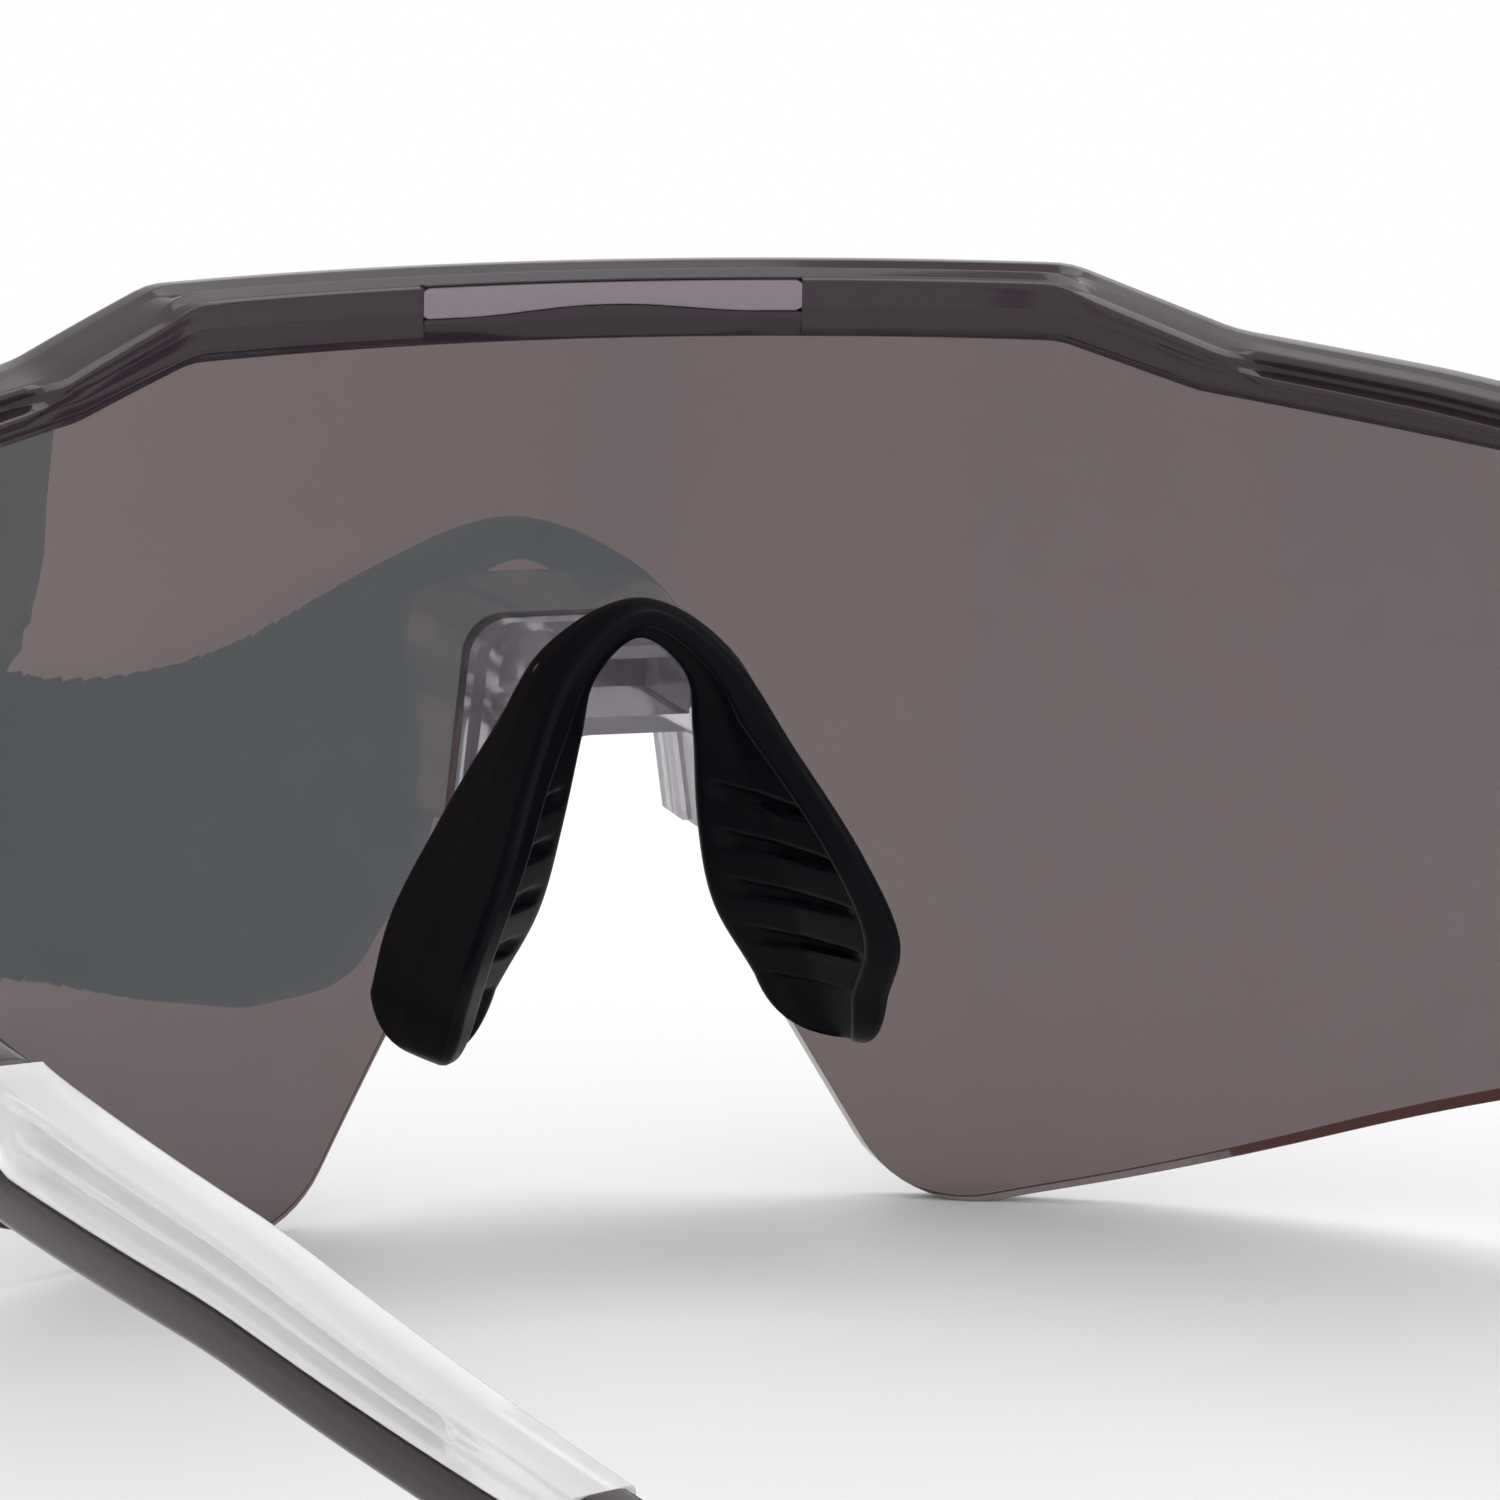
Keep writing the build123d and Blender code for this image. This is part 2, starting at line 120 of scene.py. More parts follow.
# ---------------------------------------------------------------- curves
def arc_corner(before, corner, after, radius, steps):
    """Points of the arc that rounds one corner of an outline."""
    before, corner, after = (np.array(point, float) for point in (before, corner, after))
    into = corner - before
    out = after - corner
    into_length, out_length = np.linalg.norm(into), np.linalg.norm(out)
    into, out = into / into_length, out / out_length
    turn = math.acos(np.clip(into @ out, -1, 1))
    cut = min(max(radius * math.tan(turn / 2), 0.03), 0.45 * into_length, 0.45 * out_length)
    start, end = corner - cut * into, corner + cut * out
    if turn < 1e-3:
        return [start + (end - start) * step / (steps - 1) for step in range(steps)]
    arc_radius = cut / math.tan(turn / 2)
    side = np.array([-into[1], into[0]]) * math.copysign(1, into[0] * out[1] - into[1] * out[0])
    centre = start + arc_radius * side
    points = []
    for step in range(steps):
        angle = turn * step / (steps - 1)
        points.append(centre - arc_radius * side * math.cos(angle) + arc_radius * into * math.sin(angle))
    return points


def rounded_line(corners, steps=12):
    """Open outline through (u, v, radius), as an array of points."""
    points = [np.array(corners[0][:2], float)]
    for before, corner, after in zip(corners, corners[1:], corners[2:]):
        points += arc_corner(before[:2], corner[:2], after[:2], corner[2], steps)
    points.append(np.array(corners[-1][:2], float))
    return np.array(points)


def rounded_loop(corners, steps=4, fill=0):
    """Closed outline through (u, v, radius), as an array of points, with fill points on each side."""
    rounds = []
    for index, corner in enumerate(corners):
        before = corners[index - 1]
        after = corners[(index + 1) % len(corners)]
        rounds.append(arc_corner(before[:2], corner[:2], after[:2], corner[2], steps))
    points = []
    for index, arc in enumerate(rounds):
        end, start = arc[-1], rounds[(index + 1) % len(rounds)][0]
        points += arc
        points += [end + (start - end) * part / (fill + 1) for part in range(1, fill + 1)]
    return np.array(points)


def height_on(line, x):
    """Height of an outline, drawn from the centre outward, at x."""
    return float(np.interp(abs(x), line[:, 0], line[:, 1]))


def ease(value, low, high):
    """Smooth step from 0 at low to 1 at high."""
    share = min(max((value - low) / (high - low), 0.0), 1.0)
    return share * share * (3 - 2 * share)


def blend(first, second, share):
    """List of corners part of the way from one list to another."""
    return [tuple(a + (b - a) * share for a, b in zip(one, other)) for one, other in zip(first, second)]


# ---------------------------------------------------------------- meshes
def finish_object(name, mesh, node, body, material, smooth_angle=32.0):
    """Object from a mesh in millimetres, shaded smooth, that replaces a CAD node."""
    mesh.transform(Matrix.Scale(MM, 4))
    mesh.polygons.foreach_set("use_smooth", [True] * len(mesh.polygons))
    mesh.set_sharp_from_angle(angle=math.radians(smooth_angle))
    piece = bpy.data.objects.new(name, mesh)
    bpy.context.scene.collection.objects.link(piece)
    piece.data.materials.append(material)
    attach(piece, body)
    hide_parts(node)
    return piece


def mesh_from(bm):
    bmesh.ops.recalc_face_normals(bm, faces=bm.faces)
    mesh = bpy.data.meshes.new("piece")
    bm.to_mesh(mesh)
    bm.free()
    return mesh


def skin(rings):
    """Closed mesh through rings of equally many points, with flat ends."""
    bm = bmesh.new()
    rows = [[bm.verts.new(point) for point in ring] for ring in rings]
    for first, second in zip(rows, rows[1:]):
        for index in range(len(first)):
            after = (index + 1) % len(first)
            bm.faces.new((first[index], first[after], second[after], second[index]))
    bm.faces.new(rows[0])
    bm.faces.new(rows[-1])
    return mesh_from(bm)


def prism(outline, low, high):
    """Upright prism of a plan outline."""
    return skin([[(x, y, z) for x, y in outline] for z in (low, high)])


def disc(radius, steps=48):
    """Plan outline of a circle on the right hinge's axis."""
    turns = [2 * math.pi * step / steps for step in range(steps)]
    return [(hinge_x + radius * math.cos(turn), hinge_y + radius * math.sin(turn)) for turn in turns]


def knuckle(low, high, direction):
    """Hinge knuckle with the block that joins it to the lug (+1) or to the temple (-1)."""
    reach = hinge_y + direction * 1.6 * knuckle_radius
    turns = [math.pi * step / 24 for step in range(25)]
    round_side = [
        (hinge_x - knuckle_radius * math.cos(turn), hinge_y - direction * knuckle_radius * math.sin(turn))
        for turn in turns
    ]
    inside, outside = hinge_x - knuckle_radius, hinge_x + knuckle_radius
    return prism(round_side + [(outside, reach), (inside, reach)], low, high)


joint_merge = 0.004                  # corners this near are one corner after joining and cutting


def combined(mesh, additions, cuts):
    """Mesh with other closed meshes joined to it and then with others cut from it."""
    target = bpy.data.objects.new("target", mesh)
    bpy.context.scene.collection.objects.link(target)
    helpers = []
    for operation, tools in (("UNION", additions), ("DIFFERENCE", cuts)):
        for tool_mesh in tools:
            tool = bpy.data.objects.new("tool", tool_mesh)
            bpy.context.scene.collection.objects.link(tool)
            helpers.append(tool)
            modifier = target.modifiers.new(operation, "BOOLEAN")
            modifier.operation = operation
            modifier.solver = "EXACT"
            modifier.object = tool
    shape = target.evaluated_get(bpy.context.evaluated_depsgraph_get())
    result = bpy.data.meshes.new_from_object(shape)
    for spare in helpers + [target]:
        bpy.data.objects.remove(spare)
    bm = bmesh.new()
    bm.from_mesh(result)
    bmesh.ops.remove_doubles(bm, verts=bm.verts, dist=joint_merge)
    bmesh.ops.dissolve_degenerate(bm, edges=bm.edges, dist=joint_merge)
    bmesh.ops.holes_fill(bm, edges=[edge for edge in bm.edges if edge.is_boundary], sides=0)
    return mesh_from(bm)


def flipped(mesh):
    """Copy of a right-hand mesh for the left-hand side."""
    copy = mesh.copy()
    copy.transform(Matrix.Scale(-1, 4, (1, 0, 0)))
    copy.flip_normals()
    return copy


# ---------------------------------------------------------------- lens
def lens_radius_at(z, offset=0.0):
    """Horizontal radius of the lens's outer surface, moved out by offset, at height z."""
    crown = lens_crown_radius + offset
    return lens_radius - lens_crown_radius + math.sqrt(crown ** 2 - (z - lens_mid_z) ** 2)


def on_lens(x, z, offset=0.0):
    """Point of the lens's outer surface, moved out by offset, at x and z."""
    radius = lens_radius_at(z, offset)
    return (x, wrap_centre_y + math.sqrt(radius ** 2 - x ** 2), z)


notch_side_slope = 60.0              # degrees, as in the CAD source
lens_lower_slope = 13.0
notch_top_z = 31.0
notch_top_x = 6.6
corner_x, corner_z = 19.6, -1.014    # where the notch side and the lower edge would meet
corner_radius = 7.2
knee_z = notch_top_z - 12.5
notch_slope = math.tan(math.radians(notch_side_slope))
lower_slope = math.tan(math.radians(lens_lower_slope))
lens_top_line = rounded_line([
    (0.0, lens_top_z, 0),
    (27.0, lens_top_z, 6.0),
    (35.6, lens_top_z - 2.4, 8.0),
    (lens_half_width, lug_top_z - 0.5, 0),
])
lens_bottom_line = rounded_line([
    (0.0, notch_top_z, 0),
    (notch_top_x, notch_top_z, 2.5),
    (corner_x - (knee_z - corner_z) / notch_slope, knee_z, 12.0),
    (corner_x, corner_z, corner_radius),
    (36.0, corner_z + (36.0 - corner_x) * lower_slope, 100.0),
    (lens_half_width, 13.6, 7.0),
    (lens_half_width, 20.0, 0),
])


def make_lens(material):
    """Shield of even thickness on two curved surfaces, with finely rounded edges."""
    columns = np.unique(np.concatenate([
        lens_bottom_line[:, 0], lens_top_line[:, 0], np.linspace(0, lens_half_width, 90),
    ]).round(3))
    columns = columns[np.concatenate([[True], np.diff(columns) > 0.05])]
    columns[-1] = lens_half_width
    columns = np.concatenate([-columns[:0:-1], columns])
    rows = 28
    bm = bmesh.new()
    sheets = []
    for offset in (0.0, -lens_thickness):
        sheet = []
        for x in columns:
            low, high = height_on(lens_bottom_line[:-1], x), height_on(lens_top_line, x)
            heights = [low + (high - low) * row / rows for row in range(rows + 1)]
            sheet.append([bm.verts.new(on_lens(x, z, offset)) for z in heights])
        sheets.append(sheet)
    for sheet in sheets:
        for first, second in zip(sheet, sheet[1:]):
            for row in range(rows):
                bm.faces.new((first[row], first[row + 1], second[row + 1], second[row]))
    front, back = sheets
    for row in (0, rows):
        for column in range(len(columns) - 1):
            after = column + 1
            bm.faces.new((front[column][row], front[after][row], back[after][row], back[column][row]))
    for column in (0, -1):
        for row in range(rows):
            above = row + 1
            bm.faces.new((front[column][row], front[column][above], back[column][above], back[column][row]))
    lens = finish_object("lens", mesh_from(bm), "shield_lens", "front", material, 40.0)
    round_edges(lens, 0.2)


def round_edges(piece, width, segments=2, angle=40.0):
    """Rounds an object's sharp edges."""
    bevel = piece.modifiers.new("rounded_edges", "BEVEL")
    bevel.width = width * MM
    bevel.segments = segments
    bevel.limit_method = "ANGLE"
    bevel.angle_limit = math.radians(angle)
    bevel.use_clamp_overlap = True
    bevel.harden_normals = True


# ---------------------------------------------------------------- brow bar
brow_radius = lens_radius_at(overall_height - brow_height / 2)
lug_centre_x = (brow_radius - lug_turn_radius) * math.sin(wrap_angle)
lug_centre_y = wrap_centre_y + (brow_radius - lug_turn_radius) * math.cos(wrap_angle)
lug_line_x = lug_centre_x + lug_turn_radius

bar_top_line = rounded_line([
    (0.0, overall_height, 0),
    (27.8, overall_height, 5.0),
    (36.6, overall_height - 3.5, 7.0),
    (47.0, overall_height - 5.0, 40.0),
    (76.3, lug_top_z - 2.0, 0),
])
bar_bottom_line = rounded_line([
    (0.0, brow_bottom_z, 0),
    (27.4, brow_bottom_z, 4.0),
    (35.2, brow_bottom_z - 2.6, 5.0),
    (57.0, lug_top_z - 1.3, 6.0),
    (60.6, lug_bottom_z, 2.0),
    (76.0, lug_bottom_z, 0),
])
inlay_half = inlay_high.x
inlay_top_z = inlay_high.z - 0.02
bar_front = brow_outer
bar_back = -brow_inner


def inlay_bottom_z(x):
    """The inlay's lower edge: arched, higher at the centre."""
    return inlay_low.z + 0.2 + 0.5 * (1 - ease(abs(x), 0.5, 9.5))


def bar_stations():
    """Points of the bar's plan line from the centre to the right hinge, with outward directions."""
    sharp = (inlay_half - 0.02, inlay_half + 0.02, lens_half_width + 0.05, lens_half_width + 0.09)
    turns = list(np.linspace(0, wrap_angle, 97)) + [math.asin(x / brow_radius) for x in sharp]
    stations = []
    for turn in sorted(turns):
        outward = (math.sin(turn), math.cos(turn))
        stations.append((brow_radius * outward[0], wrap_centre_y + brow_radius * outward[1], outward))
    for turn in np.linspace(math.pi / 2 - wrap_angle, 0, 9)[1:]:
        outward = (math.cos(turn), math.sin(turn))
        stations.append((lug_centre_x + lug_turn_radius * outward[0],
                         lug_centre_y + lug_turn_radius * outward[1], outward))
    for y in np.linspace(lug_centre_y, hinge_y + stop_gap, 5)[1:]:
        stations.append((lug_line_x, y, (1.0, 0.0)))
    return stations


def bar_section(x):
    """Corners (outward offset, z, radius) of the bar's section, clockwise from the front's foot.

    The centre has a back ridge above the inlay and two shallow grooves along the top, the slopes
    beside it have a smooth top, and the outer stretches have two ridges with a hollow between them.
    """
    top = height_on(bar_top_line, x)
    low = height_on(bar_bottom_line, x)
    height = top - low
    groove_front = lens_radius_at(top - height / 2) - brow_radius
    slot_top = height_on(lens_top_line, x) + fit if x < lens_half_width + 0.07 else low + 0.02
    front = [
        (bar_front, low + 0.15, 0.3), (bar_front, top - 0.9, 0.9), (0.9, top, 0.6),
    ]
    foot = [
        (-3.0, low, 0.3), (groove_front - 1.85, low, 0.05),
        (groove_front - 1.85, slot_top, 0.1), (groove_front + fit, slot_top, 0.1),
        (groove_front + fit, low, 0.05), (1.1, low, 0.25),
    ]
    centre = [
        (-0.2, top - 0.05, 0.2), (-0.7, top - 0.6, 0.2), (-1.5, top - 0.5, 0.3),
        (-2.2, top - 0.22, 0.2),
        (-2.7, top - 0.7, 0.25), (bar_back, top - 0.8, 0.2),
        (-3.42, top - 1.1, 0.1), (-3.4, top - 1.6, 0.1),
        (-3.36, low + 1.9, 0.3), (-3.4, low + 1.3, 0.3), (bar_back, low + 0.6, 0.4),
    ]
    slope = [
        (-0.2, top - 0.12, 0.3), (-0.9, top - 0.3, 0.3), (-1.6, top - 0.48, 0.3),
        (-2.2, top - 0.66, 0.3),
        (-2.8, top - 0.85, 0.3), (bar_back, top - 1.15, 0.3),
        (bar_back, top - 1.5, 0.1), (bar_back, top - 1.9, 0.1),
        (-3.4, low + 1.9, 0.3), (-3.42, low + 1.3, 0.3), (bar_back, low + 0.6, 0.4),
    ]
    outer = [
        (-0.6, top - 0.1, 0.3), (-1.3, top - 0.32, 0.3), (-2.0, top - 0.45, 0.3),
        (-2.65, top - 0.55, 0.3),
        (-2.9, top - 0.95, 0.2), (-2.2, top - 1.35, 0.25),
        (-2.35, top - 1.75, 0.25), (bar_back, top - 1.95, 0.3),
        (bar_back, top - 2.7, 0.4), (-3.3, low + 1.1, 0.4), (bar_back, low + 0.55, 0.4),
    ]
    lug = [
        (-0.5, top, 0.3), (-1.2, top, 0.3), (-1.9, top, 0.3), (-2.6, top, 0.3),
        (bar_back, top, 0.8), (bar_back, top - 1.5, 0.3),
        (bar_back, top - 2.5, 0.3), (bar_back, top - 3.5, 0.3),
        (bar_back, top - 4.5, 0.4), (bar_back, low + 1.6, 0.4), (bar_back, low + 0.6, 0.4),
    ]
    if x <= inlay_half:
        foot_z = inlay_bottom_z(x)
        hollow = 0.22 * (1 - ease(x, 3.0, 10.5))
        centre[5:] = [(bar_back, top - 0.55, 0.1), (bar_back, inlay_high.z + 0.04, 0.05),
                      (bar_back + inlay_depth + 0.04, inlay_high.z + 0.04, 0.05),
                      (bar_back + inlay_depth + 0.04, foot_z, 0.05), (bar_back + hollow, foot_z, 0.05),
                      (bar_back + hollow / 3, low + 1.15 + hollow, 0.1)]
    upper = blend(centre, slope, ease(x, 26.5, 29.5))
    upper = blend(upper, outer, ease(x, 36.6, 39.5))
    upper = blend(upper, lug, ease(x, 53.0, 61.0))
    return front + upper + foot


def bar_ring(station, side):
    x, y, outward = station
    loop = rounded_loop(bar_section(x))
    return [(side * (x + offset * outward[0]), y + offset * outward[1], z) for offset, z in loop]


def fork_heights():
    """Bottom and top of the temple's knuckle, between the lug's two."""
    middle = (lug_bottom_z + lug_top_z) / 2
    return middle - temple_knuckle_height / 2, middle + temple_knuckle_height / 2


def make_brow_bar(material):
    stations = bar_stations()
    rings = [bar_ring(station, -1) for station in stations[:0:-1]]
    rings += [bar_ring(station, 1) for station in stations]
    low, high = fork_heights()
    forks = [knuckle(lug_bottom_z, low - knuckle_gap, 1), knuckle(high + knuckle_gap, lug_top_z, 1)]
    cuts = [prism(disc(knuckle_radius + turning_gap), low - knuckle_gap, high + knuckle_gap)] + screw_room()
    forks += [flipped(mesh) for mesh in forks]
    cuts += [flipped(mesh) for mesh in cuts]
    mesh = combined(skin(rings), forks, cuts)
    finish_object("brow_bar", mesh, "front_frame", "front", material)


def screw_room():
    """Seats of the screw's head and of the nut, and the hole between them."""
    return [
        prism(disc(head_seat_radius), screw_high.z - screw_head_height, lug_top_z + 5),
        prism(disc(lug_hole_radius, 24), lug_bottom_z - 5, lug_top_z + 5),
        prism(disc(nut_seat_radius), lug_bottom_z - 5, screw_low.z + nut_height),
    ]


def make_inlay(material):
    """Frosted strip in the back of the bar, with a thin mark across its middle."""
    rings = []
    for x in np.linspace(-inlay_half, inlay_half, 73):
        turn = math.asin(x / brow_radius)
        end = ease(abs(x), inlay_half - 0.25, inlay_half + 0.12)
        low, high = inlay_bottom_z(x) + 0.03 + 0.25 * end, inlay_top_z - 0.25 * end
        mark = 0.06 if abs(x) < 0.1 else 0.0
        loop = rounded_loop([(bar_back + 0.05 + mark, low, 0.12), (bar_back + 0.05 + mark, high, 0.12),
                             (bar_back + inlay_depth, high, 0.05), (bar_back + inlay_depth, low, 0.05)], 5)
        ring = []
        for offset, z in loop:
            radius = brow_radius + offset
            ring.append((radius * math.sin(turn), wrap_centre_y + radius * math.cos(turn), z))
        rings.append(ring)
    finish_object("inlay", skin(rings), "brow_inlay", "front", material)


# ---------------------------------------------------------------- nose pad
# Inner, outer and rear corner of the pad's section, each (x, distance behind the lens front, z).
pad_guides = [
    ((0.0, 12.3, 36.1), (0.0, 10.8, 38.6), (0.0, 14.2, 38.2)),
    ((2.3, 12.6, 34.2), (5.4, 10.0, 36.0), (4.6, 15.4, 35.2)),
    ((2.9, 12.0, 30.5), (8.6, 9.0, 30.5), (7.5, 18.0, 30.5)),
    ((3.6, 10.7, 25.0), (11.5, 8.5, 25.0), (10.3, 22.0, 25.0)),
    ((4.8, 10.2, 20.0), (14.0, 8.3, 20.0), (12.4, 23.0, 20.0)),
    ((7.4, 10.5, 15.6), (15.5, 8.7, 15.4), (12.6, 20.3, 15.8)),
]
pad_cap_height = 5.6
pad_cap_fullness = 0.65              # below 1 the round end stays broad nearly to its bottom
pad_cap_start = math.radians(25.0)   # the foot already narrows this much where its round end begins
pad_cap_lean = Vector((0.1, 0.12, -1.0)).normalized()
groove_count = 5
groove_top_z = 27.4
groove_pitch = 3.0
groove_depth = 0.5


def pad_corner(corner, share):
    """One corner of the pad's section, part of the way from the arch's centre to the foot."""
    knots = np.array([guide[corner] for guide in pad_guides])
    knots = np.vstack([knots[1] * (-1, 1, 1), knots, 2 * knots[-1] - knots[-2]])
    place = share * (len(pad_guides) - 1)
    index = min(int(place), len(pad_guides) - 2)
    part = place - index
    p0, p1, p2, p3 = knots[index:index + 4]
    return 0.5 * (2 * p1 + (p2 - p0) * part + (2 * p0 - 5 * p1 + 4 * p2 - p3) * part ** 2
                  + (3 * p1 - p0 - 3 * p2 + p3) * part ** 3)


def groove_at(across, z):
    """Depth of the slanted grip grooves at a share of the way across the contact face, at height z."""
    deepest = 0.0
    for number in range(groove_count):
        middle = groove_top_z - groove_pitch * number - (1.2 - 0.3 * number) * across
        half_width = 0.8 - 0.6 * across
        length = ease(across, 0.12, 0.2) * (1 - ease(across, 0.66, 0.74))
        inside = 1 - ease(abs(z - middle), 0.3 * half_width, half_width)
        deepest = max(deepest, groove_depth * length * inside)
    return deepest


def pad_ring(share):
    """Section of the pad: a contact face with a bead along its rear edge, an outer and a front face."""
    inner, outer, rear = (pad_corner(corner, share) for corner in range(3))
    across = rear - inner
    width = np.linalg.norm(across)
    across = across / width
    inward = (outer - inner) - ((outer - inner) @ across) * across
    depth = np.linalg.norm(inward)
    inward = inward / depth
    outer_u = (outer - inner) @ across
    bead = min(2.5, 0.4 * width)
    hollow = min(1.4, 0.11 * width)
    loop = rounded_loop([
        (0.0, 0.0, 0.6),
        (0.4 * width, hollow, 3.0),
        (width - bead - 0.3, hollow, 0.5),
        (width - bead + 0.2, -0.45, 0.7),
        (width, 0.1, 0.9),
        (width - 0.3, 0.9, 0.8),
        ((outer_u + width) / 2 + 0.15, depth / 2 + 0.35, 4.0),
        (outer_u, depth, 0.9),
    ], 7, 8)
    ring = []
    for u, v in loop:
        point = inner + u * across + v * inward
        if v < 1.05 * hollow:
            point = point + inward * groove_at(u / width, point[2])
        ring.append(point)
    return np.array([(x, front_y - back, z) for x, back, z in ring])


def make_nose_pad(material):
    """One-piece saddle: both legs and the arch, with a rounded end under each leg."""
    rings = [pad_ring(share) for share in np.linspace(0, 1, 150)]
    last = rings[-1]
    centre = last.mean(axis=0)
    for turn in np.linspace(pad_cap_start, math.radians(86), 12)[1:]:
        scale = (math.cos(turn) / math.cos(pad_cap_start)) ** pad_cap_fullness
        drop = pad_cap_height * (math.sin(turn) - math.sin(pad_cap_start))
        rings.append(centre + (last - centre) * scale + drop * np.array(pad_cap_lean))
    left = [ring * (-1, 1, 1) for ring in rings[:0:-1]]
    finish_object("nose_saddle", skin(left + rings), "nose_pad", "front", material, 60.0)


# ---------------------------------------------------------------- temples
curve_y = hinge_y - temple_curve_start
temple_line_x = lug_outer_x - temple_thickness / 2
curve_angle = math.asin((curve_y - (front_y - tip_front)) / temple_curve_radius)


def on_temple(y, z, offset):
    """Point beside the right temple's middle surface: straight, curved inward, then straight."""
    turn = math.asin(min(max((curve_y - y) / temple_curve_radius, 0.0), math.sin(curve_angle)))
    x = temple_line_x - temple_curve_radius * (1 - math.cos(turn))
    x -= max(front_y - tip_front - y, 0.0) * math.tan(curve_angle)
    return (x + offset * math.cos(turn), y - offset * math.sin(turn), z)


def circle_point(centre, radius, angle):
    return (centre[0] + radius * math.cos(angle), centre[1] + radius * math.sin(angle))


def tangent_angle(first, first_radius, second, second_radius, side):
    """Direction of the radius at which a common outer tangent touches two circles."""
    dy, dz = second[0] - first[0], second[1] - first[1]
    lean = math.asin((first_radius - second_radius) / math.hypot(dy, dz))
    return math.atan2(dz, dy) + side * (math.pi / 2 - lean)


waist = (front_y - waist_back, waist_z)
slim = (front_y - slim_back, slim_z)
bend = (front_y - bend_back, bend_z)
end = (back_y + end_radius, end_radius)
arm_start_y = hinge_y - stop_gap


def arm_edge(side):
    """Upper (-1) or lower (+1) edge of the arm in side view, from the hinge to the ear bend."""
    start = (arm_start_y, lug_top_z if side < 0 else lug_bottom_z)
    first = tangent_angle(waist, waist_radius, slim, slim_radius, side)
    second = tangent_angle(slim, slim_radius, bend, bend_radius, side)
    return [start, circle_point(waist, waist_radius, first),
            circle_point(slim, slim_radius, (first + second) / 2), circle_point(bend, bend_radius, second)]


arm_top_line = rounded_line([(-y, z, 60.0) for y, z in arm_edge(-1)])
arm_bottom_line = rounded_line([(-y, z, 60.0) for y, z in arm_edge(1)])
lower_slim, lower_bend = arm_edge(1)[2:]


def arm_height(line, y):
    return float(np.interp(-y, line[:, 0], line[:, 1]))


def temple_ring(y, low, high, thickness, radius, steps=5):
    """Rounded upright section of the temple at one place."""
    radius = min(radius, 0.45 * (high - low), 0.45 * thickness)
    half = thickness / 2
    middle = (low + high) / 2
    swell = 0.12
    loop = rounded_loop([(half, low, radius), (half + swell, middle, 6.0), (half, high, radius),
                         (-half, high, radius), (-half, middle, 6.0), (-half, low, radius)], steps, 1)
    return [on_temple(y, z, offset) for offset, z in loop]


def both_sides(name, mesh, node, material, smooth_angle=32.0):
    """Right-hand piece and its mirror image, each riding its own temple."""
    left = flipped(mesh)
    finish_object("right_" + name, mesh, "right_" + node, "right_temple", material, smooth_angle)
    finish_object("left_" + name, left, "left_" + node, "left_temple", material, smooth_angle)


def seat_height(y):
    """Top of the dark arm under the clear strip: a rail that curves up at its front end."""
    back = front_y - y
    rail = arm_height(arm_bottom_line, y) + rail_height
    ahead = min(max(strip_front + strip_corner_radius - back, 0.0), strip_corner_radius)
    return rail + strip_corner_radius - math.sqrt(strip_corner_radius ** 2 - ahead ** 2)


def make_temple_arms(material):
    """Dark arm: full height at the hinge, a rail under the clear strip, a collar behind it."""
    backs = np.concatenate([
        np.linspace(front_y - arm_start_y, strip_front - 0.9, 40),
        strip_front - 0.9 + 0.9 * np.sin(np.radians([20, 40, 60, 90])),
        strip_front + strip_corner_radius * (1 - np.cos(np.radians([12, 25, 40, 60, 90]))),
        np.linspace(strip_front + 4, strip_back - 0.5, 24),
        [strip_back - 0.02, strip_back, strip_back + 0.3, strip_back + 1.5, tip_front - 0.25, tip_front],
    ])
    rings = []
    for back in backs:
        y = front_y - back
        low = arm_height(arm_bottom_line, y)
        high = arm_height(arm_top_line, y)
        if strip_front <= back < strip_back:
            high = min(seat_height(y), high)
        elif back < strip_front:
            high -= 0.9 - math.sqrt(max(0.81 - max(back - strip_front + 0.9, 0.0) ** 2, 0.0))
        rings.append(temple_ring(y, low, high, temple_thickness, 1.1))
    low, high = fork_heights()
    forks = [prism(disc(knuckle_radius + turning_gap), lug_bottom_z - 5, low),
             prism(disc(knuckle_radius + turning_gap), high, lug_top_z + 5)]
    hole = prism(disc(temple_hole_radius, 24), 0, overall_height)
    mesh = combined(skin(rings), [knuckle(low, high, -1)], forks + [hole])
    both_sides("arm", mesh, "temple_arm", material)


flute_depth = 0.75


def strip_ring(back):
    """Section of the clear strip: rounded edges and two long flutes in each side."""
    y = front_y - back
    low = seat_height(y) + fit
    high = arm_height(arm_top_line, y)
    height = high - low
    half = temple_thickness / 2
    front_end = ease(back, strip_front + 4.0, strip_front + 6.0)
    back_end = 1 - ease(back, strip_back - 9.0, strip_back - 7.0)
    flute = flute_depth * front_end * back_end
    edge = min(0.9, 0.3 * height)
    side = [(half, low, 0.4), (half, low + 0.2 * height, 0.5), (half - flute, low + 0.27 * height, 0.4),
            (half - flute, low + 0.4 * height, 0.4), (half, low + 0.47 * height, 0.5),
            (half, low + 0.58 * height, 0.5), (half - flute, low + 0.65 * height, 0.4),
            (half - flute, low + 0.76 * height, 0.4), (half, low + 0.83 * height, 0.4),
            (half - 0.1, high, edge)]
    other = [(-offset, z, radius) for offset, z, radius in side[::-1]]
    return [on_temple(y, z, offset) for offset, z in rounded_loop(side + other, 4)]


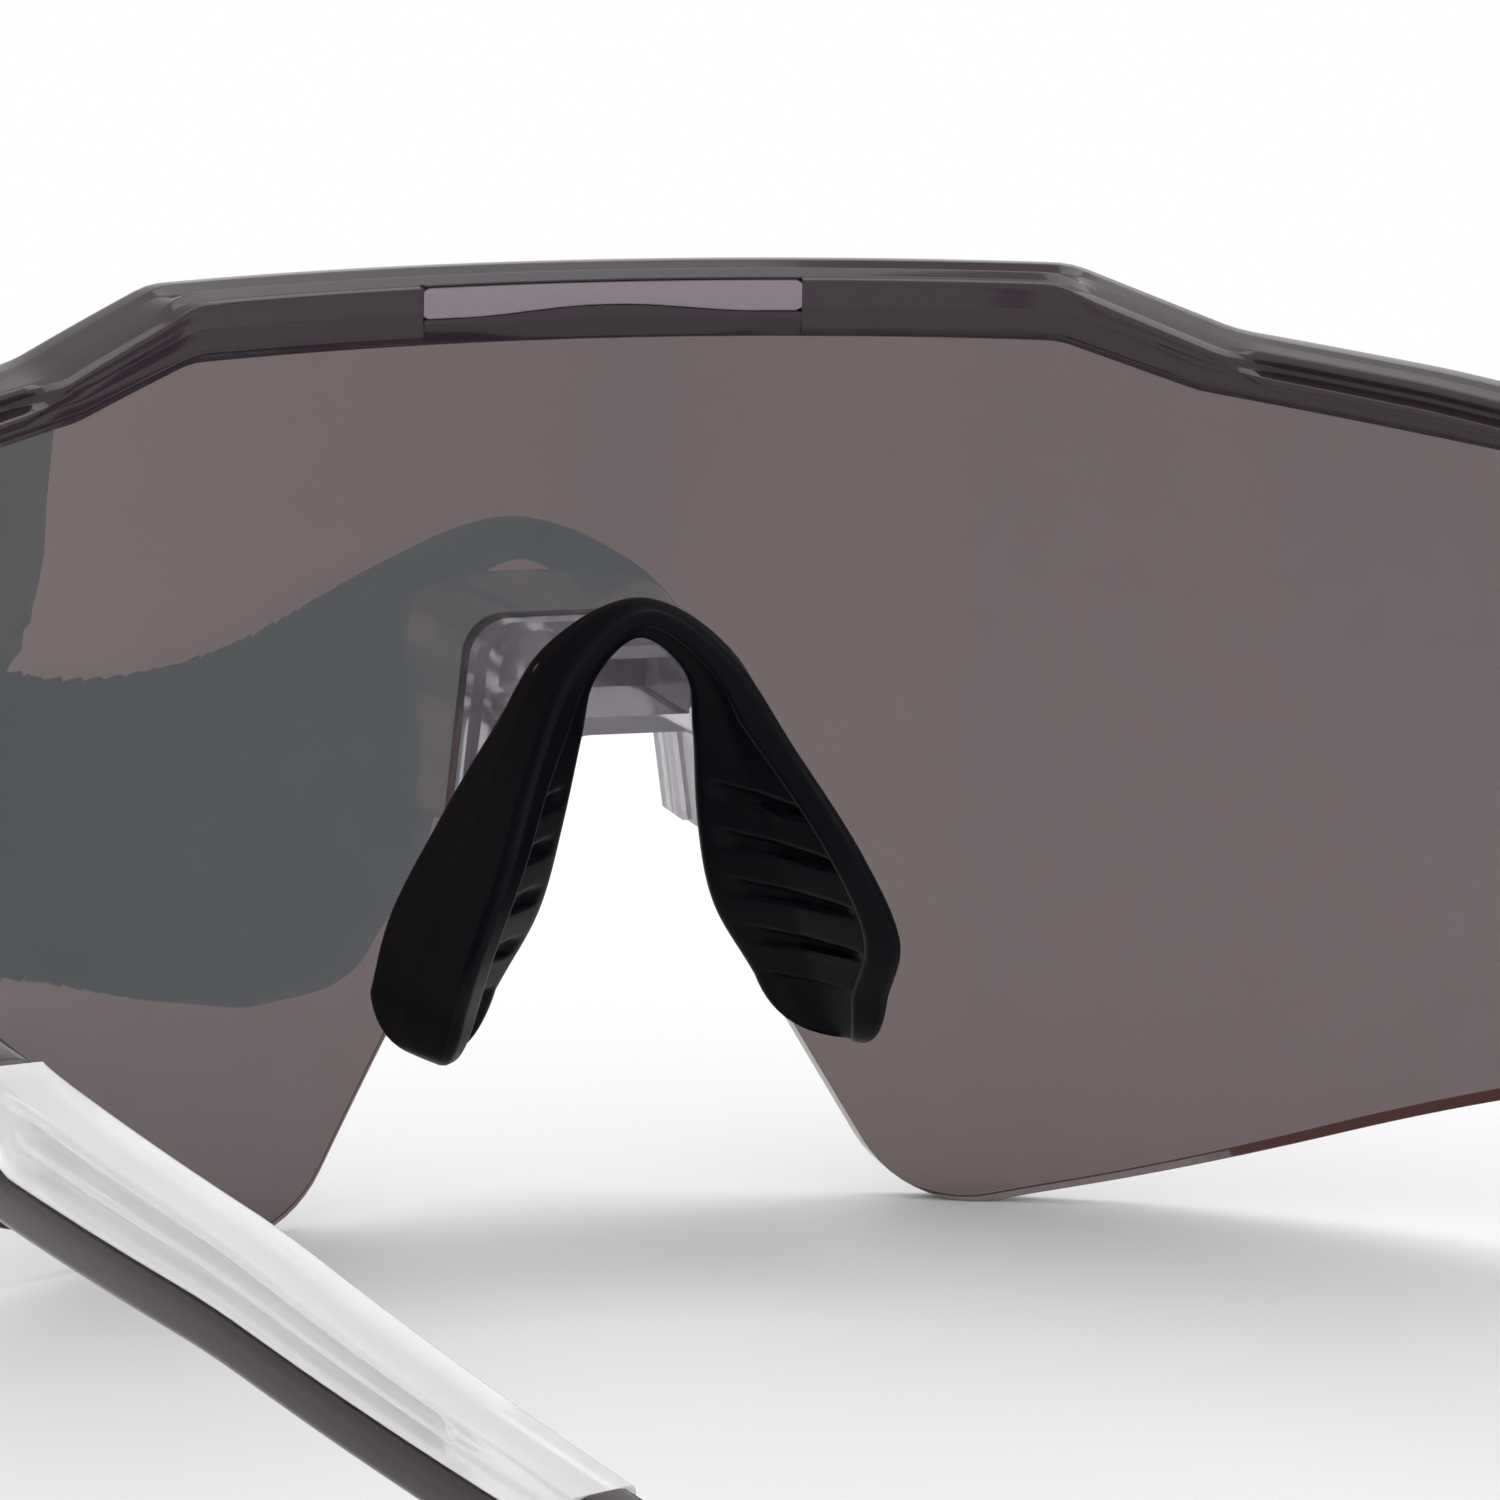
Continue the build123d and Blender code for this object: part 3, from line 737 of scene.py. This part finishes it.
def make_temple_strips(material):
    backs = np.concatenate([
        strip_front + fit + strip_corner_radius * (1 - np.cos(np.radians([0, 12, 25, 40, 60, 90]))),
        np.linspace(strip_front + 3.5, strip_front + 7, 10),
        np.linspace(strip_front + 8.5, strip_back - 10, 20),
        np.linspace(strip_back - 9.2, strip_back - 6, 10),
        np.linspace(strip_back - 5, strip_back - fit, 5),
    ])
    both_sides("strip", skin([strip_ring(back) for back in backs]), "temple_strip", material)


def along(path, count):
    """Points evenly spaced along a path."""
    lengths = np.concatenate([[0], np.cumsum(np.linalg.norm(np.diff(path, axis=0), axis=1))])
    places = np.linspace(0, lengths[-1], count)
    return np.column_stack([np.interp(places, lengths, path[:, axis]) for axis in (0, 1)])


def make_temple_tips(material):
    """Rubber end: over the ear bend, down the hook and round its end."""
    start_y = front_y - tip_front - fit
    first_turn = tangent_angle(slim, slim_radius, bend, bend_radius, -1) % (2 * math.pi)
    upper_turn = tangent_angle(bend, bend_radius, end, end_radius, -1) % (2 * math.pi)
    lower_turn = tangent_angle(bend, bend_radius, end, end_radius, 1) % (2 * math.pi)
    turns = np.linspace(first_turn, upper_turn, 12)
    over_bend = [circle_point(bend, bend_radius, turn) for turn in turns]
    first = (start_y, arm_height(arm_top_line, start_y))
    upper = along(np.array([first, *over_bend, circle_point(end, end_radius, upper_turn)]), 46)
    hook_foot = circle_point(end, end_radius, lower_turn)
    crook = crossing(lower_slim, lower_bend, circle_point(bend, bend_radius, lower_turn), hook_foot)
    under_bend = rounded_line([(*lower_slim, 0), (*crook, 3 * bend_radius), (*hook_foot, 0)], 24)
    first_z = np.interp(-start_y, -under_bend[:, 0], under_bend[:, 1])
    lower = along(np.vstack([[start_y, first_z], under_bend[under_bend[:, 0] < start_y]]), 46)
    edges = [(low, high, 1.0) for low, high in zip(lower, upper)]
    half_sweep = (lower_turn - upper_turn) % (2 * math.pi) / 2
    for part in np.linspace(0, 1, 12)[1:-1]:
        gap = half_sweep * (1 - part)
        low = circle_point(end, end_radius, upper_turn + half_sweep + gap)
        high = circle_point(end, end_radius, upper_turn + half_sweep - gap)
        edges.append((low, high, 0.1 + 0.9 * math.sqrt(1 - part ** 2)))
    rings = []
    for low, high, share in edges:
        half = temple_thickness / 2 * share
        loop = rounded_loop([(half, 0, 0.17), (half, 1, 0.17), (-half, 1, 0.17), (-half, 0, 0.17)], 6, 2)
        low = np.array(low)
        rise = np.array(high) - low
        rings.append([on_temple(*(low + rise * place), offset) for offset, place in loop])
    both_sides("tip", skin(rings), "temple_tip", material)


def crossing(a, b, c, d):
    """Point where the line through a and b meets the line through c and d."""
    a, b, c, d = (np.array(point) for point in (a, b, c, d))
    share = np.linalg.solve(np.column_stack([b - a, c - d]), c - a)[0]
    return tuple(a + share * (b - a))


# ---------------------------------------------------------------- materials
def make_material(name, colour, roughness, transmission=0.0, ior=1.5, mottle=300.0):
    """Material whose colour varies slightly over the surface."""
    material = bpy.data.materials.new(name)
    material.use_nodes = True
    tree = material.node_tree
    shader = tree.nodes["Principled BSDF"]
    shader.inputs["Roughness"].default_value = roughness
    shader.inputs["Transmission Weight"].default_value = transmission
    shader.inputs["IOR"].default_value = ior
    place = tree.nodes.new("ShaderNodeTexCoord")
    noise = tree.nodes.new("ShaderNodeTexNoise")
    noise.inputs["Scale"].default_value = mottle
    noise.inputs["Detail"].default_value = 3.0
    tree.links.new(place.outputs["Object"], noise.inputs["Vector"])
    mix = tree.nodes.new("ShaderNodeMix")
    mix.data_type = "RGBA"
    mix.inputs["A"].default_value = (*[0.94 * value for value in colour], 1)
    mix.inputs["B"].default_value = (*[min(1.06 * value, 1.0) for value in colour], 1)
    tree.links.new(noise.outputs["Fac"], mix.inputs["Factor"])
    tree.links.new(mix.outputs["Result"], shader.inputs["Base Color"])
    return material


def add_grain(material, scale, strength, distance):
    """Fine surface grain, as a bump."""
    tree = material.node_tree
    shader = tree.nodes["Principled BSDF"]
    place = tree.nodes.new("ShaderNodeTexCoord")
    noise = tree.nodes.new("ShaderNodeTexNoise")
    noise.inputs["Scale"].default_value = scale
    noise.inputs["Detail"].default_value = 4.0
    bump = tree.nodes.new("ShaderNodeBump")
    bump.inputs["Strength"].default_value = strength
    bump.inputs["Distance"].default_value = distance * MM
    tree.links.new(place.outputs["Object"], noise.inputs["Vector"])
    tree.links.new(noise.outputs["Fac"], bump.inputs["Height"])
    tree.links.new(bump.outputs["Normal"], shader.inputs["Normal"])


def make_metal(name, colour, roughness):
    metal = make_material(name, colour, roughness)
    metal.node_tree.nodes["Principled BSDF"].inputs["Metallic"].default_value = 1.0
    add_grain(metal, 3000.0, 0.15, 0.02)
    return metal


# ---------------------------------------------------------------- camera, light and floor
def make_camera():
    """Behind the wearer's left shoulder, slightly above, with a long lens."""
    azimuth, elevation, roll = math.radians(-18.0), math.radians(11.5), math.radians(1.287)
    back = Vector((math.sin(azimuth) * math.cos(elevation), -math.cos(azimuth) * math.cos(elevation),
                   math.sin(elevation)))
    target = Vector((10.86, front_y, 26.86))
    data = bpy.data.cameras.new("camera")
    data.lens = 189.5
    data.sensor_width = 36.0
    data.clip_start = 0.01
    camera = bpy.data.objects.new("camera", data)
    bpy.context.scene.collection.objects.link(camera)
    camera.location = (target + back * 475.0) * MM
    camera.rotation_euler = ((-back).to_track_quat("-Z", "Y").to_matrix().to_4x4()
                             @ Matrix.Rotation(roll, 4, "Z")).to_euler()
    bpy.context.scene.camera = camera


def make_light(name, size, power, location, aim):
    data = bpy.data.lights.new(name, "AREA")
    data.shape = "RECTANGLE"
    data.size, data.size_y = size
    data.energy = power
    light = bpy.data.objects.new(name, data)
    bpy.context.scene.collection.objects.link(light)
    light.location = location
    light.rotation_euler = (Vector(aim) - Vector(location)).to_track_quat("-Z", "Y").to_euler()


def make_floor():
    """Pale floor that fades into the white background some way off."""
    bpy.ops.mesh.primitive_plane_add(size=6.0, location=(0, 0, 0))
    floor = bpy.context.object
    floor.name = "floor"
    material = bpy.data.materials.new("floor")
    material.use_nodes = True
    tree = material.node_tree
    shader = tree.nodes["Principled BSDF"]
    shader.inputs["Base Color"].default_value = (0.89, 0.89, 0.89, 1)
    shader.inputs["Roughness"].default_value = 0.6
    place = tree.nodes.new("ShaderNodeTexCoord")
    distance = tree.nodes.new("ShaderNodeVectorMath")
    distance.operation = "LENGTH"
    fade = tree.nodes.new("ShaderNodeMapRange")
    fade.interpolation_type = "SMOOTHSTEP"
    fade.inputs["From Min"].default_value = 0.1
    fade.inputs["From Max"].default_value = 0.42
    glow = tree.nodes.new("ShaderNodeEmission")
    mix = tree.nodes.new("ShaderNodeMixShader")
    tree.links.new(place.outputs["Object"], distance.inputs[0])
    tree.links.new(distance.outputs["Value"], fade.inputs["Value"])
    tree.links.new(fade.outputs["Result"], mix.inputs["Fac"])
    tree.links.new(shader.outputs["BSDF"], mix.inputs[1])
    tree.links.new(glow.outputs["Emission"], mix.inputs[2])
    tree.links.new(mix.outputs["Shader"], tree.nodes["Material Output"].inputs["Surface"])
    floor.data.materials.append(material)


def make_studio():
    world = bpy.data.worlds.new("studio")
    world.use_nodes = True
    world.node_tree.nodes["Background"].inputs["Color"].default_value = (1, 1, 1, 1)
    world.node_tree.nodes["Background"].inputs["Strength"].default_value = 1.0
    bpy.context.scene.world = world
    bpy.context.scene.view_settings.view_transform = "Standard"
    make_light("key_light", (0.5, 0.5), 1.5, (0.3, 0.15, 0.7), (0, 0.05, 0))
    make_floor()


# ---------------------------------------------------------------- the glasses
make_camera()
make_studio()

smoke = make_material("smoke_plastic", (0.05, 0.034, 0.044), 0.1, 0.35, 1.38)
tint = make_material("tinted_lens", (0.1, 0.1, 0.105), 0.0, 1.0, 1.75)
tint.node_tree.nodes["Principled BSDF"].inputs["Specular Tint"].default_value = (1.0, 0.48, 0.45, 1)
frosted = make_material("frosted_inlay", (0.25, 0.2, 0.235), 0.4, mottle=1500.0)
clear = make_material("clear_plastic", (0.66, 0.62, 0.68), 0.1, 0.8, 1.49)
milky = make_material("clear_strip", (0.985, 0.975, 0.97), 0.14, 0.5, 1.49)
rubber = make_material("black_rubber", (0.0018, 0.002, 0.004), 0.42, 0.0, 1.18)
steel = make_metal("steel", (0.6, 0.6, 0.62), 0.3)
brass = make_metal("brass", (0.75, 0.6, 0.3), 0.32)
add_grain(frosted, 900.0, 0.3, 0.05)
add_grain(rubber, 1200.0, 0.25, 0.05)

make_lens(tint)
make_brow_bar(smoke)
make_inlay(frosted)
make_nose_pad(rubber)
make_temple_arms(smoke)
make_temple_strips(milky)
make_temple_tips(rubber)

for name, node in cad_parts.items():
    node.data.materials.clear()
    node.data.materials.append(steel if "screw" in name else brass if "nut" in name else clear)
    if "screw" in name or "nut" in name:
        round_edges(node, 0.08, 2, 50.0)
round_edges(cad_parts["nose_carrier"], 0.25, 3, 35.0)
